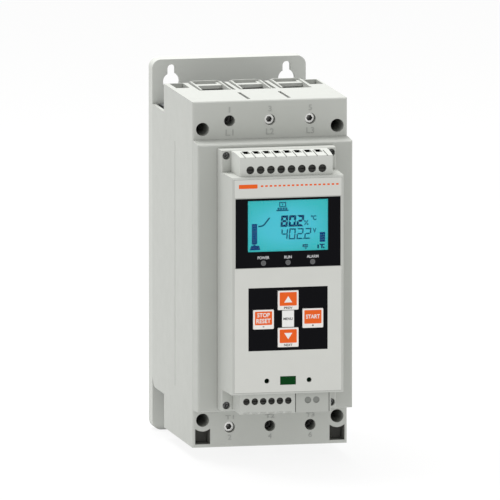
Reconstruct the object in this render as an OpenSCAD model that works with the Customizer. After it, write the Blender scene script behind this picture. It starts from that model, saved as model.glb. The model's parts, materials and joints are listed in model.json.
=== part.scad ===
// Soft starter for panel mounting, three phases, with bypass and control module.
// Millimetres. X to the right, +Y towards the wall, +Z up.
// Depths are counted forward from the wall, so a depth d lies at y = -d.

/* [Back plate] */
// Height of the back plate
plate_h = 274; // [264:1:284]
// Depth of the rim of the back plate
plate_d = 12.8; // [11:0.2:14]
// Thickness of the front wall of the back plate
plate_wall = 5; // [3:0.5:6]
// Thickness of the rim and ribs on the rear of the back plate
plate_rib = 4; // [3:0.5:6]
// Radius of the plate corners
plate_corner = 6.5; // [4:0.5:10]
// Distance between the two keyholes
keyhole_pitch = 86.2; // [80:0.2:88]
// Diameter of the round entry of a keyhole
keyhole_entry = 12.6; // [10:0.2:14]
// Width of the slot of a keyhole
keyhole_slot = 6; // [5:0.2:7]
// Distance from the plate top to the centre of the keyhole entry
keyhole_drop = 16.4; // [14:0.2:18]
// Wall left above the slot of a keyhole
keyhole_margin = 3.9; // [2.5:0.1:5]
// Height of the open slots at the plate foot
foot_slot = 7; // [6:0.5:8.5]

/* [Housing] */
// Width of the housing and the back plate
body_w = 115; // [104:1:128]
// Height of the housing
body_h = 253.9; // [249:0.1:258]
// Height of the housing bottom above the plate foot
body_drop = 8.1; // [5:0.1:12]
// Depth of the terminal faces
body_d = 153.8; // [150:0.2:160]
// Depth of the rear of the housing above and below the wings
back_d = 53.8; // [49:0.2:56]
// Wall thickness of the housing and covers
wall = 2.5; // [2:0.1:3]
// Thickness of the rear wall of the housing
rear_wall = 3; // [2:0.5:5]
// Height of the open notch above the wings
notch_top = 20.6; // [18:0.2:24]
// Height of the open notch below the wings
notch_low = 24.7; // [20:0.1:28]
// Radius of the lower rear corner of the wings
wing_corner = 9; // [4:0.5:14]
// Radius of the upright front edges
edge_r = 1.6; // [0.8:0.1:2.2]
// Depth of the upright groove in the side walls
groove_d = 91.8; // [84:0.2:102]
// Length of the upright groove in the side walls
groove_l = 180; // [150:1:190]
// Diameter of the corner wells
well_dia = 9.7; // [8.6:0.1:10]
// Distance of the corner wells from the housing sides
well_side = 7.5; // [7:0.1:9]
// Distance of the corner wells from the housing top and bottom
well_inset = 20.2; // [19:0.1:21]
// Diameter of the ring round a corner well
well_ring = 16.6; // [14:0.2:17]
// Side of the square pockets under the lower corner wells
pocket_side = 11.2; // [9:0.1:12]
// Depth of the square pockets
pocket_deep = 14; // [10:0.5:18]

/* [Power terminals] */
// Width of the housing that is left beside the three poles
pole_margin = 25; // [24:0.5:27]
// Distance of the power screws from the housing top and bottom
pole_inset = 14.5; // [13.5:0.1:15]
// Diameter of the screw wells of the power terminals
access_dia = 8.1; // [7.8:0.1:8.6]
// Width of the rib between two cable windows
window_rib = 10; // [9:0.1:10.5]
// Length of the cable windows in depth
window_l = 24.4; // [23:0.2:26]
// Depth of the rear edge of the cable windows
window_d = 70.6; // [69:0.2:72]
// Length of the vent windows behind the cable windows
vent_l = 7.8; // [5:0.2:9]
// Height of the raised rims round the windows
rim_h = 1.4; // [0.8:0.1:1.8]
// Sideways offset of the cable windows in the top and bottom walls
window_shift = 2.4; // [0:0.1:2.6]
// Sideways offset of the barrier slits and the corner windows
slit_shift = 1.2; // [0:0.1:1.6]
// Length of the front barrier slits
slit_l = 35; // [25:1:38]
// Width of the barrier slits between the poles
slit_w = 2.4; // [1.4:0.1:2.6]
// Width of the corner windows in the housing top
corner_win_w = 10; // [8:0.2:11]
// Length of the corner windows in the housing top
corner_win_l = 24.4; // [18:0.2:26]
// Length of a power terminal screw
lug_screw_l = 53; // [50:1:54]
// Diameter of a power terminal screw
lug_screw_dia = 7.4; // [6.4:0.1:7.4]
// Distance from the busbar to the tip of a screw that is turned in
screw_in_gap = 13; // [6:0.5:14]
// Distance from the busbar to the tip of a screw that is backed out
screw_out_gap = 23.5; // [22:0.5:25]

/* [Power parts] */
// Thickness of the heatsink base
sink_base = 5; // [4:0.5:7]
// Number of fins between the two outer ribs
fin_count = 13; // [9:1:15]
// Thickness of a fin
fin_t = 1.8; // [1.2:0.1:2.4]
// Thickness of the two outer ribs
rib_t = 7; // [6:0.5:8]
// Height of a thyristor module above the heatsink
thyristor_h = 30; // [28:1:32]
// Length of a thyristor module
thyristor_l = 92; // [84:1:98]
// Thickness of the insulating terminal carriers
carrier_d = 6; // [5:0.5:8]
// Height of a box lug
lug_h = 20; // [18:0.5:20]
// Length of the cable opening of a box lug in depth
lug_open_d = 22; // [20:0.5:24]
// Thickness of a busbar
bar_t = 3; // [2:0.25:4]
// Depth of the bypass relays
relay_d = 32; // [26:1:36]
// Thickness of the circuit boards
board_t = 1.6; // [1:0.2:2.4]

/* [Front cover] */
// Height of the front cover at its front
cover_h = 195.8; // [192:0.2:198]
// Depth of the front cover
cover_step = 18.3; // [16:0.1:21]
// Drop of the upper and lower ledges of the cover towards the front
cover_slope = 1.2; // [0.6:0.1:2.6]
// Height of the cover centre above the housing centre
cover_lift = -0.15; // [-1:0.05:1]

/* [Control module] */
// Width of the module at its rear
module_w = 86; // [84:0.2:90]
// Width of the module at its front
module_front_w = 82.7; // [81.6:0.1:83.4]
// Height of the box of the module
box_h = 159; // [156:0.5:162]
// Depth of the module
module_step = 43.5; // [41:0.5:46]
// Thickness of the base slab
slab_d = 12; // [10:0.5:14]
// Height of the base slab
slab_h = 190.6; // [188:0.2:193]
// Taper of each side of the base slab
slab_taper = 0.6; // [0.2:0.1:0.8]
// Distance of the module screws from the sides of the slab
screw_inset_x = 4.1; // [3.9:0.1:5]
// Distance of the module screws from the top and bottom of the slab
screw_inset_z = 3.8; // [3.5:0.1:4.8]
// Width of the terminal blocks
block_w = 68.5; // [66:0.1:69.5]
// Distance of the block fronts behind the module face
block_back = 5.5; // [3:0.5:7]
// Taper of each side of the upper block
block_taper = 1.2; // [0.4:0.1:1.6]
// Drop of the upper block's top towards its front
block_slope = 1.5; // [0.5:0.1:2.5]
// Height of the lower terminal block
low_block_h = 15; // [13.6:0.1:15.4]
// Pitch of the upper terminals
up_pitch = 7.62; // [7.4:0.01:7.8]
// Pitch of the lower terminals
low_pitch = 6.2; // [6.1:0.01:6.3]
// Diameter of the screw wells of the upper terminals
up_well = 5.9; // [5.4:0.1:6]
// Diameter of the screw wells of the lower terminals
low_well = 5; // [4.5:0.1:5.1]
// Height of the upper terminal screws above the box top
up_screw_rise = 4.6; // [4.4:0.1:5.2]
// Distance of the lower terminal screws below the box bottom
low_screw_drop = 5.8; // [5.2:0.1:6.2]

/* [Display and keys] */
// Width of the black display field
field_w = 77.4; // [74:0.2:78]
// Height of the black display field
field_h = 50.4; // [48:0.2:50.6]
// Height of the display field centre above the module centre
field_rise = 38.7; // [38:0.1:39.4]
// Width of the clear display window
glass_w = 59.4; // [56:0.2:60]
// Height of the clear display window
glass_h = 37.4; // [35:0.2:37.6]
// Height of the display window centre above the module centre
glass_rise = 43.7; // [42.6:0.1:43.8]
// Diameter of the status lights
light_dia = 3; // [2.6:0.1:3.6]
// Distance between the status lights
light_pitch = 18.2; // [16:0.1:20]
// Height of the status lights above the module centre
light_rise = 16.8; // [16.4:0.1:18]
// Width of the black keypad field
pad_w = 58.5; // [57:0.1:60]
// Height of the black keypad field
pad_h = 45.9; // [45:0.1:47]
// Distance of the keypad centre below the module centre
pad_drop = 24.4; // [22:0.1:26]
// Width of the panel left outside the side keys
side_margin = 3.3; // [3:0.05:3.6]
// Height of the panel left outside the arrow keys
end_margin = 2.3; // [2:0.05:2.5]
// Height of a key above the module face
key_proud = 0.6; // [0.5:0.1:1]
// Stroke of a key
key_travel = 0.4; // [0.3:0.05:0.5]
// Width of the optical port
port_w = 11.5; // [9:0.1:13]
// Height of the optical port
port_h = 6.1; // [5:0.1:7]
// Distance of the optical port below the module centre
port_drop = 69.6; // [66:0.1:71]
// Distance between the two locating holes
locate_pitch = 31.3; // [28:0.1:34]
// Diameter of the locating holes
locate_dia = 3.7; // [3:0.1:4.2]

/* [Clearances] */
// Gap between pieces that slip together
slip = 0.2; // [0.1:0.05:0.3]
// Gap round a key in the keypad panel
key_gap = 0.25; // [0.15:0.05:0.35]
// Gap round a screw in its hole, on the diameter
screw_gap = 0.1; // [0.05:0.05:0.3]

/* [Hidden] */
$fn = 48;
eps = 0.01;

plate_w = body_w;
plate_screw = 4;
plate_head = 8;
plate_boss = 14;
plate_top = plate_h / 2;
plate_low = -plate_h / 2;
body_low = plate_low + body_drop;
body_top = body_low + body_h;
body_mid = (body_low + body_top) / 2;
half_h = body_h / 2;
half_w = body_w / 2;
inner_w = half_w - wall;
fin_low = body_low + notch_low;
fin_top = body_top - notch_top;
seat_d = back_d + rear_wall;
sink_d = seat_d + sink_base;
stack_d = sink_d + thyristor_h;
lug_back = sink_d + carrier_d;
lug_wall = 3;
lug_nut = 14;
pole_pitch = (body_w - pole_margin) / 3;
window_w = pole_pitch - window_rib;
vent_w = window_w - 4;
lug_w = 0.7 * pole_pitch;
lug_open_w = lug_w - 2 * lug_wall;
bar_w = 0.4 * pole_pitch;
thyristor_w = lug_w;
relay_w = 0.8 * pole_pitch;
sensor_w = pole_pitch - 5;
sensor_wall = carrier_d + lug_wall - 0.5;
sensor_h = 12;
lug_front = lug_back + lug_wall + lug_open_d + lug_nut;
bar_d = lug_back + lug_wall;
pole_z = half_h - pole_inset;
lug_low = half_h - wall - 1 - lug_h;
tip_d = bar_d + bar_t;
terminal_z = 34;
bar_end = 7;
bar_bend = 58;
bar_knee = 20;
bolt_dia = 5;
bolt_head = 9;
bolt_reach = 9;
sink_half = inner_w - 0.5;
sink_reach = half_h - well_inset + 7;
rib_x = sink_half - 2.5 - rib_t / 2;
window_reach = sink_half - 2;
rim_t = 1.2;
slit_edge = 8;
front_slit = body_d - slit_edge - slit_l;
well_x = half_w - well_side;
well_floor = 5;
body_screw = 4;
body_head = 7.4;
body_head_t = 4;
well_z = half_h - well_inset;
groove_w = 1;
groove_t = 0.5;
rail_d = body_d - 6;
board_d = rail_d;
board_reach = 0.34 * body_h;
transformer_w = 16;
transformer_d = 10;
transformer_drop = 50;
link_w = 30;
link_h = 8;
cover_mid = body_mid + cover_lift;
cover_front = body_d + cover_step;
module_mid = cover_mid;
face_d = cover_front + module_step;
slab_front = cover_front + slab_d;
module_screw_x = module_w - 2 * screw_inset_x;
module_screw_z = slab_h - 2 * screw_inset_z;
box_top = module_mid + box_h / 2;
box_low = module_mid - box_h / 2;
slab_top = module_mid + slab_h / 2;
slab_low = module_mid - slab_h / 2;
box_cavity = module_front_w / 2 - wall;
block_front = face_d - block_back;
low_block_low = box_low - low_block_h;
low_ways = 6;
low_left = -block_w / 2;
low_right = low_left + 2 * 4.7 + (low_ways - 1) * low_pitch + 0.3;
low_first = low_left + 4.7;
post_dia = 7;
boss_l = 11;
module_screw = 3;
head_dia = 5;
head_seat = slab_front - 6.5;
control_d = slab_front + 1.7;
header_w = 40;
header_h = 5;
header_drop = 63.5;
panel_d = face_d - 11.5;
panel_front = panel_d + board_t;
bezel_t = 1.2;
film_t = 0.4;
film_w = module_front_w - 2 * edge_r;
pad_t = 1;
key_w = (pad_w - 12.6) / 3;
key_h = (pad_h - 3.6) / 3;
key_side = (pad_w - key_w) / 2 - side_margin;
key_rise = (pad_h - key_h) / 2 - end_margin;
flange_t = 0.9;
flange_lip = 0.6;
switch_h = 3.4;
switch_bore = 3.4;
stem_dia = 3.2;
field_mid = module_mid + field_rise;
glass_mid = module_mid + glass_rise;
light_z = module_mid + light_rise;
pad_mid = module_mid - pad_drop;
port_mid = module_mid - port_drop;
locate_x = locate_pitch / 2;
clamp_inset = 4.2;
clamp_back = slab_front + clamp_inset;
clamp_open = 10;
clamp_wall = 1.5;
clamp_front = clamp_back + 2 * clamp_wall + clamp_open + 1.5;

function pole_x(i) = (i - 2) * pole_pitch;
function up_x(i) = (i - 3.5) * up_pitch;
function low_x(i) = low_first + i * low_pitch;
function key_at(name) =
    name == "stop" ? [-key_side, 0] :
    name == "start" ? [key_side, 0] :
    name == "up" ? [0, key_rise] : [0, -key_rise];

// Box between two limits on each axis, with depths counted forward
module span_box(x, d, z) {
    translate([x[0], -d[1], z[0]])
        cube([x[1] - x[0], d[1] - d[0], z[1] - z[0]]);
}

// Round bar along the depth
module rod(x, z, d, dia) {
    translate([x, -d[0], z])
        rotate([90, 0, 0])
            cylinder(h = d[1] - d[0], d = dia);
}

// Profile drawn in x and z, run along the depth
module run_depth(d) {
    translate([0, -d[0], 0])
        rotate([90, 0, 0])
            linear_extrude(d[1] - d[0])
                children();
}

// Profile drawn in y and z, run across the width
module run_width(x) {
    translate([x[0], 0, 0])
        rotate([90, 0, 90])
            linear_extrude(x[1] - x[0])
                children();
}

// Profile drawn in x and y, run upwards
module run_height(z) {
    translate([0, 0, z[0]])
        linear_extrude(z[1] - z[0])
            children();
}

// Rectangle about a centre
module plain_rect(w, h, mid) {
    translate([-w / 2, mid - h / 2])
        square([w, h]);
}

// Rectangle about a centre with round corners
module round_rect(w, h, mid, r) {
    plain_rect(w - 2 * r, h, mid);
    plain_rect(w, h - 2 * r, mid);
    for (x = [-1, 1], z = [-1, 1])
        translate([x * (w / 2 - r), mid + z * (h / 2 - r)])
            circle(r);
}

// Outline in plan, straight or tapered sides, with round front edges
module plan_outline(rear_half, front_half, d, r) {
    polygon([[-rear_half, -d[0]], [rear_half, -d[0]], [front_half, -d[1] + r],
        [-front_half, -d[1] + r]]);
    translate([-front_half + r, -d[1]])
        square([2 * (front_half - r), r + eps]);
    for (x = [-1, 1])
        translate([x * (front_half - r), -d[1] + r])
            circle(r);
}

// Same shape at the load side, mirrored about the middle of the housing
module load_side() {
    mirror([0, 0, 1])
        children();
}

module keyhole_cut(x) {
    entry_z = plate_top - keyhole_drop;
    slot_z = plate_top - keyhole_margin - keyhole_slot / 2;
    translate([x, entry_z])
        circle(d = keyhole_entry);
    translate([x - keyhole_slot / 2, entry_z])
        square([keyhole_slot, slot_z - entry_z]);
    translate([x, slot_z])
        circle(d = keyhole_slot);
}

// Room behind a keyhole, grown by a margin to give the collar round it
module keyhole_room(x, grow) {
    half = keyhole_entry / 2 + 2.4 + grow;
    low = plate_top - keyhole_drop - keyhole_entry - grow;
    translate([x - half, low])
        square([2 * half, plate_top - 3 - low]);
}

module foot_cut(x) {
    translate([x - keyhole_slot / 2, plate_low - 1])
        square([keyhole_slot, foot_slot + 1 - keyhole_slot / 2]);
    translate([x, plate_low + foot_slot - keyhole_slot / 2])
        circle(d = keyhole_slot);
}

module plate_dish() {
    for (s = [-1, 1])
        keyhole_room(s * keyhole_pitch / 2, 0);
    difference() {
        plain_rect(plate_w - 2 * plate_rib, plate_h - 2 * (plate_rib + foot_slot), 0);
        for (s = [-1, 1])
            keyhole_room(s * keyhole_pitch / 2, plate_rib);
        plain_rect(plate_rib * 2, plate_h, 0);
        for (z = [-0.3, 0, 0.3])
            plain_rect(plate_w, plate_rib, z * plate_h);
        for (x = [-1, 1], z = [-0.3, 0.3])
            translate([x * rib_x, z * plate_h])
                circle(d = plate_boss);
    }
}

module back_plate() {
    color([0.80, 0.81, 0.79])
        difference() {
            run_depth([0, plate_d])
                difference() {
                    round_rect(plate_w, plate_h, 0, plate_corner);
                    for (s = [-1, 1]) {
                        keyhole_cut(s * keyhole_pitch / 2);
                        foot_cut(s * keyhole_pitch / 2);
                    }
                }
            run_depth([-1, plate_d - plate_wall])
                plate_dish();
            for (x = [-1, 1], z = [-0.3, 0.3]) {
                rod(x * rib_x, z * plate_h, [-1, plate_d + 1], plate_screw + screw_gap);
                rod(x * rib_x, z * plate_h, [-1, 0.4 * plate_d], plate_head + screw_gap);
            }
        }
}

module plate_screws() {
    color([0.62, 0.63, 0.65])
        for (x = [-1, 1], z = [-0.3, 0.3])
            difference() {
                union() {
                    rod(x * rib_x, z * plate_h, [0.1 * plate_d, 0.4 * plate_d], plate_head);
                    rod(x * rib_x, z * plate_h, [0.3 * plate_d, 2.1 * plate_d], plate_screw);
                }
                rod(x * rib_x, z * plate_h, [0, 0.24 * plate_d], plate_head / 2);
            }
}

module fin_profile() {
    for (x = [-1, 1])
        translate([x * rib_x - rib_t / 2, -seat_d - 1])
            square([rib_t, seat_d - plate_d + 1]);
    fin_span = 2 * (rib_x - rib_t / 2);
    for (i = [1 : fin_count])
        translate([-fin_span / 2 + i * fin_span / (fin_count + 1) - fin_t / 2, -seat_d - 1])
            square([fin_t, seat_d - plate_d + 1]);
}

module heatsink() {
    color([0.72, 0.73, 0.75])
        difference() {
            union() {
                span_box([-sink_half, sink_half], [seat_d, sink_d],
                    [body_mid - sink_reach, body_mid + sink_reach]);
                run_height([fin_low, fin_top])
                    fin_profile();
            }
            for (x = [-1, 1], z = [-1, 1])
                rod(x * well_x, body_mid + z * well_z, [seat_d - 1, sink_d + 1], body_screw + screw_gap);
            for (x = [-1, 1], z = [-0.3, 0.3])
                rod(x * rib_x, z * plate_h, [plate_d - 1, 2.2 * plate_d], plate_screw + screw_gap);
        }
}

module housing_side() {
    c = 0.8;
    polygon([[-back_d, body_low], [-back_d, body_top], [-body_d + c, body_top],
        [-body_d, body_top - c], [-body_d, body_low + c], [-body_d + c, body_low]]);
    translate([-back_d - 1, fin_low])
        square([back_d + 1 - plate_d - wing_corner, wing_corner + 1]);
    translate([-back_d - 1, fin_low + wing_corner])
        square([back_d + 1 - plate_d, fin_top - fin_low - wing_corner]);
    translate([-plate_d - wing_corner, fin_low + wing_corner])
        circle(wing_corner);
}

module housing_block() {
    intersection() {
        run_width([-half_w, half_w])
            housing_side();
        run_height([body_low, body_top])
            plan_outline(half_w, half_w, [plate_d, body_d], edge_r);
    }
}

module housing_hollow() {
    span_box([-inner_w, inner_w], [seat_d, body_d - wall], [body_low + wall, body_top - wall]);
    span_box([-inner_w, inner_w], [plate_d - 1, back_d], [fin_low - 1, fin_top + 1]);
    span_box([-window_reach, window_reach], [back_d - 1, seat_d + 1], [fin_low, fin_top]);
    span_box([-inner_w, inner_w], [body_d - wall - 1, body_d + 1],
        [cover_mid - cover_h / 2 + wall, cover_mid + cover_h / 2 - wall]);
}

module housing_tubes() {
    for (x = [-1, 1], z = [-1, 1])
        rod(x * well_x, body_mid + z * well_z, [sink_d + slip, body_d - eps], well_ring);
    for (i = [1 : 3], z = [-1, 1])
        rod(pole_x(i), body_mid + z * pole_z, [lug_front + 0.4, body_d - eps], access_dia + 3);
    for (x = [-1, 1])
        span_box([x * inner_w - (x > 0 ? 5 : 1), x * inner_w + (x > 0 ? 1 : 5)],
            [rail_d - 5, rail_d], [body_mid - board_reach + 1, body_mid + board_reach - 1]);
    for (x = [-1, 1])
        pocket_box(x, pocket_deep + 1.6, 1.6);
}

// Square pocket under a lower corner well, grown by a wall to give its box
module pocket_box(side, deep, grow) {
    half = pocket_side / 2 + grow;
    low = body_low + wall;
    span_box([side * well_x - half, side * well_x + half], [body_d - deep, body_d + 1],
        [low - grow, low + pocket_side + grow]);
}

module cable_windows(side) {
    edge = body_mid + side * half_h;
    through = [edge - wall - 1, edge + wall + 1];
    rib_end = window_w / 2 + rim_t;
    for (i = [1 : 3])
        translate([pole_x(i) + window_shift, 0, 0]) {
            span_box([-window_w / 2, window_w / 2], [window_d, window_d + window_l], through);
            span_box([-vent_w / 2, vent_w / 2], [back_d + rim_t, back_d + rim_t + vent_l], through);
            span_box([-rib_end - 0.8, -rib_end], [back_d - 1, window_d + window_l],
                [edge - 0.9, edge + 0.9]);
        }
    for (x = [-1, 1])
        translate([x * pole_pitch / 2 + slit_shift, 0, 0]) {
            span_box([-slit_w / 2, slit_w / 2], [back_d - 1, window_d + window_l], through);
            span_box([-slit_w / 2, slit_w / 2], [front_slit, front_slit + slit_l], through);
        }
}

// Rims round the windows, highest near the rear
module window_rims(side) {
    edge = body_mid + side * half_h;
    half = window_w / 2 + rim_t;
    front = window_d + window_l;
    for (i = [1 : 3])
        translate([pole_x(i) + window_shift, 0, edge]) {
            run_depth([back_d, back_d + rim_t])
                polygon([[-half, -side], [-half, side * rim_h / 2], [-half + 3, side * rim_h],
                    [half - 3, side * rim_h], [half, side * rim_h / 2], [half, -side]]);
            for (x = [-half, half - rim_t])
                run_width([x, x + rim_t])
                    polygon([[-back_d, -side], [-back_d, side * rim_h / 2],
                        [-back_d - 6, side * rim_h], [-front, side * rim_h / 2], [-front, -side]]);
        }
}

module housing() {
    color([0.82, 0.83, 0.81])
        difference() {
            union() {
                difference() {
                    housing_block();
                    housing_hollow();
                }
                intersection() {
                    housing_block();
                    housing_tubes();
                }
                window_rims(1);
                window_rims(-1);
            }
            for (x = [-1, 1])
                difference() {
                    pocket_box(x, pocket_deep, 0);
                    rod(x * well_x, body_mid - well_z, [body_d - pocket_deep - 1, body_d + 2], well_ring);
                }
            for (x = [-1, 1], z = [-1, 1]) {
                rod(x * well_x, body_mid + z * well_z, [sink_d + well_floor, body_d + 1], well_dia);
                rod(x * well_x, body_mid + z * well_z, [sink_d - 1, sink_d + well_floor + 1],
                    body_screw + 0.6);
            }
            for (i = [1 : 3], z = [-1, 1])
                rod(pole_x(i), body_mid + z * pole_z, [lug_front - 1, body_d + 1], access_dia);
            cable_windows(1);
            cable_windows(-1);
            for (x = [-1, 1]) {
                corner_mid = x * (half_w - 2.7 - corner_win_w / 2) + slit_shift;
                span_box([corner_mid - corner_win_w / 2, corner_mid + corner_win_w / 2],
                    [back_d + rim_t, back_d + rim_t + corner_win_l],
                    [body_top - wall - 1, body_top + 1]);
            }
            for (x = [-1, 1])
                span_box([x * half_w - groove_t, x * half_w + groove_t],
                    [groove_d, groove_d + groove_w],
                    [body_mid - groove_l / 2, body_mid + groove_l / 2]);
        }
}

module housing_screws() {
    head_d = sink_d + well_floor;
    color([0.30, 0.30, 0.31])
        for (x = [-1, 1], z = [-1, 1])
            difference() {
                union() {
                    rod(x * well_x, body_mid + z * well_z, [head_d, head_d + body_head_t], body_head);
                    rod(x * well_x, body_mid + z * well_z, [seat_d + 1, head_d + 1], body_screw);
                }
                rod(x * well_x, body_mid + z * well_z,
                    [head_d + body_head_t / 2, head_d + body_head_t + 1], body_head / 2);
            }
}

module cover_side() {
    top = cover_mid + cover_h / 2;
    low = cover_mid - cover_h / 2;
    c = 0.8;
    polygon([[-body_d, low - cover_slope], [-body_d, top + cover_slope],
        [-cover_front + c, top], [-cover_front, top - c], [-cover_front, low + c],
        [-cover_front + c, low]]);
}

module cover_lip(half, high, t) {
    difference() {
        plain_rect(2 * half, high, cover_mid);
        plain_rect(2 * (half - t), high - 2 * t, cover_mid);
    }
}

module front_cover() {
    tongue = inner_w - slip;
    tongue_h = cover_h - 2 * wall - 2 * slip;
    color([0.82, 0.83, 0.81])
        difference() {
            union() {
                difference() {
                    intersection() {
                        run_width([-half_w, half_w])
                            cover_side();
                        run_height([body_low, body_top])
                            plan_outline(half_w, half_w, [body_d, cover_front], edge_r);
                    }
                    span_box([-inner_w, inner_w], [body_d - 1, cover_front - wall],
                        [cover_mid - cover_h / 2 + wall, cover_mid + cover_h / 2 - wall]);
                }
                run_depth([body_d - 3.8, body_d + 2])
                    cover_lip(tongue, tongue_h, 1.6);
                run_depth([body_d + 1, body_d + 5])
                    cover_lip(inner_w + 1, cover_h - 2 * wall + 2, 2.8 + slip);
                for (x = [-1, 1], z = [-1, 1])
                    rod(x * module_screw_x / 2, module_mid + z * module_screw_z / 2,
                        [cover_front - boss_l, cover_front - eps], post_dia);
            }
            span_box([-link_w / 2 - 1, link_w / 2 + 1], [body_d, cover_front + 1],
                [module_mid - link_h / 2 - 1, module_mid + link_h / 2 + 1]);
            for (x = [-1, 1], z = [-1, 1])
                rod(x * module_screw_x / 2, module_mid + z * module_screw_z / 2,
                    [cover_front - boss_l - 1, cover_front + 1], module_screw + screw_gap);
        }
}

module carrier() {
    reach = pole_pitch + lug_w / 2;
    notch = pole_pitch - lug_w - 1;
    color([0.20, 0.21, 0.22])
        translate([0, 0, body_mid])
            difference() {
                span_box([-reach, reach], [sink_d, lug_back], [lug_low, lug_low + lug_h]);
                for (x = [-1, 1])
                    span_box([x * pole_pitch / 2 - notch / 2, x * pole_pitch / 2 + notch / 2],
                        [sink_d + 4, lug_back + 1], [lug_low - 1, lug_low + lug_h + 1]);
            }
}

module line_carrier() {
    carrier();
}

module load_carrier() {
    translate([0, 0, 2 * body_mid])
        load_side()
            carrier();
}

module lug(i) {
    color([0.78, 0.79, 0.80])
        translate([pole_x(i), 0, body_mid])
            difference() {
                span_box([-lug_w / 2, lug_w / 2], [lug_back, lug_front],
                    [lug_low, lug_low + lug_h]);
                span_box([-lug_open_w / 2, lug_open_w / 2],
                    [bar_d, bar_d + lug_open_d], [lug_low - 1, lug_low + lug_h + 1]);
                rod(0, pole_z, [bar_d + lug_open_d - 1, lug_front + 1],
                    lug_screw_dia + screw_gap);
            }
}

module line_lug(i) {
    lug(i);
}

module load_lug(i) {
    translate([0, 0, 2 * body_mid])
        load_side()
            lug(i);
}

module bar_profile() {
    near = terminal_z - bar_end;
    far = lug_low + lug_h;
    inside = bar_bend - 0.4 * bar_t;
    polygon([[-bar_d, far], [-bar_d - bar_t, far], [-bar_d - bar_t, bar_bend + bar_knee],
        [-stack_d - bar_t, bar_bend], [-stack_d - bar_t, near], [-stack_d, near],
        [-stack_d, inside], [-bar_d, inside + bar_knee]]);
}

module busbar(i) {
    color([0.78, 0.79, 0.80])
        translate([pole_x(i), 0, body_mid])
            difference() {
                run_width([-bar_w / 2, bar_w / 2])
                    bar_profile();
                rod(0, terminal_z, [stack_d - 1, stack_d + bar_t + 1], bolt_dia + screw_gap);
            }
}

module line_busbar(i) {
    busbar(i);
}

module load_busbar(i) {
    translate([0, 0, 2 * body_mid])
        load_side()
            busbar(i);
}

module busbar_bolts() {
    color([0.66, 0.67, 0.69])
        for (i = [1 : 3], z = [-1, 1]) {
            rod(pole_x(i), body_mid + z * terminal_z,
                [stack_d - bolt_reach, stack_d + bar_t + eps], bolt_dia);
            translate([pole_x(i), -stack_d - bar_t, body_mid + z * terminal_z])
                rotate([90, 0, 0])
                    cylinder(h = 0.7 * bolt_dia, d = bolt_head, $fn = 6);
        }
}

module lug_screw(lift) {
    difference() {
        rod(0, pole_z, [tip_d + lift, tip_d + lift + lug_screw_l], lug_screw_dia);
        translate([0, -tip_d - lift - lug_screw_l + 5, pole_z])
            rotate([90, 0, 0])
                cylinder(h = 6, d = 4.6, $fn = 6);
    }
}

module lug_screws() {
    color([0.70, 0.71, 0.73]) {
        for (i = [1 : 3])
            translate([pole_x(i), 0, body_mid])
                lug_screw(i == 1 ? screw_in_gap : screw_out_gap);
        for (i = [1 : 3])
            translate([pole_x(i), 0, body_mid])
                load_side()
                    lug_screw(i == 1 ? screw_out_gap : screw_in_gap);
    }
}

module thyristor(i) {
    foot = thyristor_l / 2;
    color([0.16, 0.16, 0.17])
        translate([pole_x(i), 0, body_mid])
            difference() {
                union() {
                    span_box([-thyristor_w / 2, thyristor_w / 2], [sink_d, sink_d + 7],
                        [-foot, foot]);
                    span_box([-thyristor_w / 2, thyristor_w / 2], [sink_d + 6, stack_d],
                        [-foot + 6, foot - 6]);
                }
                for (z = [-1, 1])
                    rod(0, z * terminal_z, [stack_d - bolt_reach - 1, stack_d + 1], bolt_dia + screw_gap);
            }
}

module bypass_relay(i) {
    tall = terminal_z - bar_end - 0.4;
    color([0.22, 0.23, 0.25])
        translate([pole_x(i), 0, body_mid])
            difference() {
                span_box([-relay_w / 2, relay_w / 2], [stack_d, stack_d + relay_d],
                    [-tall, tall]);
                for (x = [-1, 1])
                    span_box([x * relay_w / 2 - 1, x * relay_w / 2 + 1],
                        [stack_d + 5, stack_d + relay_d - 4], [-tall + 6, tall - 6]);
            }
}

module current_sensor(i) {
    low = -lug_low + 6;
    top = low + sensor_h;
    color([0.14, 0.20, 0.36])
        translate([pole_x(i), 0, body_mid])
            difference() {
                span_box([-sensor_w / 2, sensor_w / 2],
                    [bar_d - sensor_wall, bar_d + bar_t + sensor_wall], [low, top]);
                span_box([-bar_w / 2 - slip, bar_w / 2 + slip],
                    [bar_d - slip, bar_d + bar_t + slip], [low - 1, top + 1]);
            }
}

module power_board() {
    color([0.10, 0.33, 0.20])
        span_box([-inner_w + slip, inner_w - slip], [board_d, board_d + board_t],
            [body_mid - board_reach, body_mid + board_reach]);
}

module gate_transformers() {
    back = board_d + board_t;
    middle = body_mid - transformer_drop;
    color([0.12, 0.12, 0.13])
        for (i = [1 : 3])
            span_box([pole_x(i) - transformer_w / 2, pole_x(i) + transformer_w / 2],
                [back, back + transformer_d],
                [middle - transformer_w / 2, middle + transformer_w / 2]);
}

module link_connector() {
    color([0.12, 0.12, 0.13])
        span_box([-link_w / 2, link_w / 2], [board_d + board_t, control_d],
            [module_mid - link_h / 2, module_mid + link_h / 2]);
}

module case_side() {
    c = 1.2;
    polygon([[-cover_front, box_low], [-cover_front, box_top], [-face_d + c, box_top],
        [-face_d, box_top - c], [-face_d, box_low + c], [-face_d + c, box_low]]);
}

module case_shell() {
    difference() {
        union() {
            intersection() {
                run_width([-half_w, half_w])
                    case_side();
                run_height([box_low, box_top])
                    plan_outline(module_w / 2, module_front_w / 2, [cover_front, face_d],
                        edge_r);
            }
            run_height([slab_low, slab_top])
                plan_outline(module_w / 2, module_w / 2 - slab_taper, [cover_front, slab_front], 0.8);
        }
        span_box([-box_cavity, box_cavity], [cover_front - 1, face_d - wall],
            [box_low + wall, box_top - wall]);
        span_box([-module_w / 2 + wall, module_w / 2 - wall],
            [cover_front - 1, slab_front - wall], [slab_low + wall, slab_top - wall]);
    }
}

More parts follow.
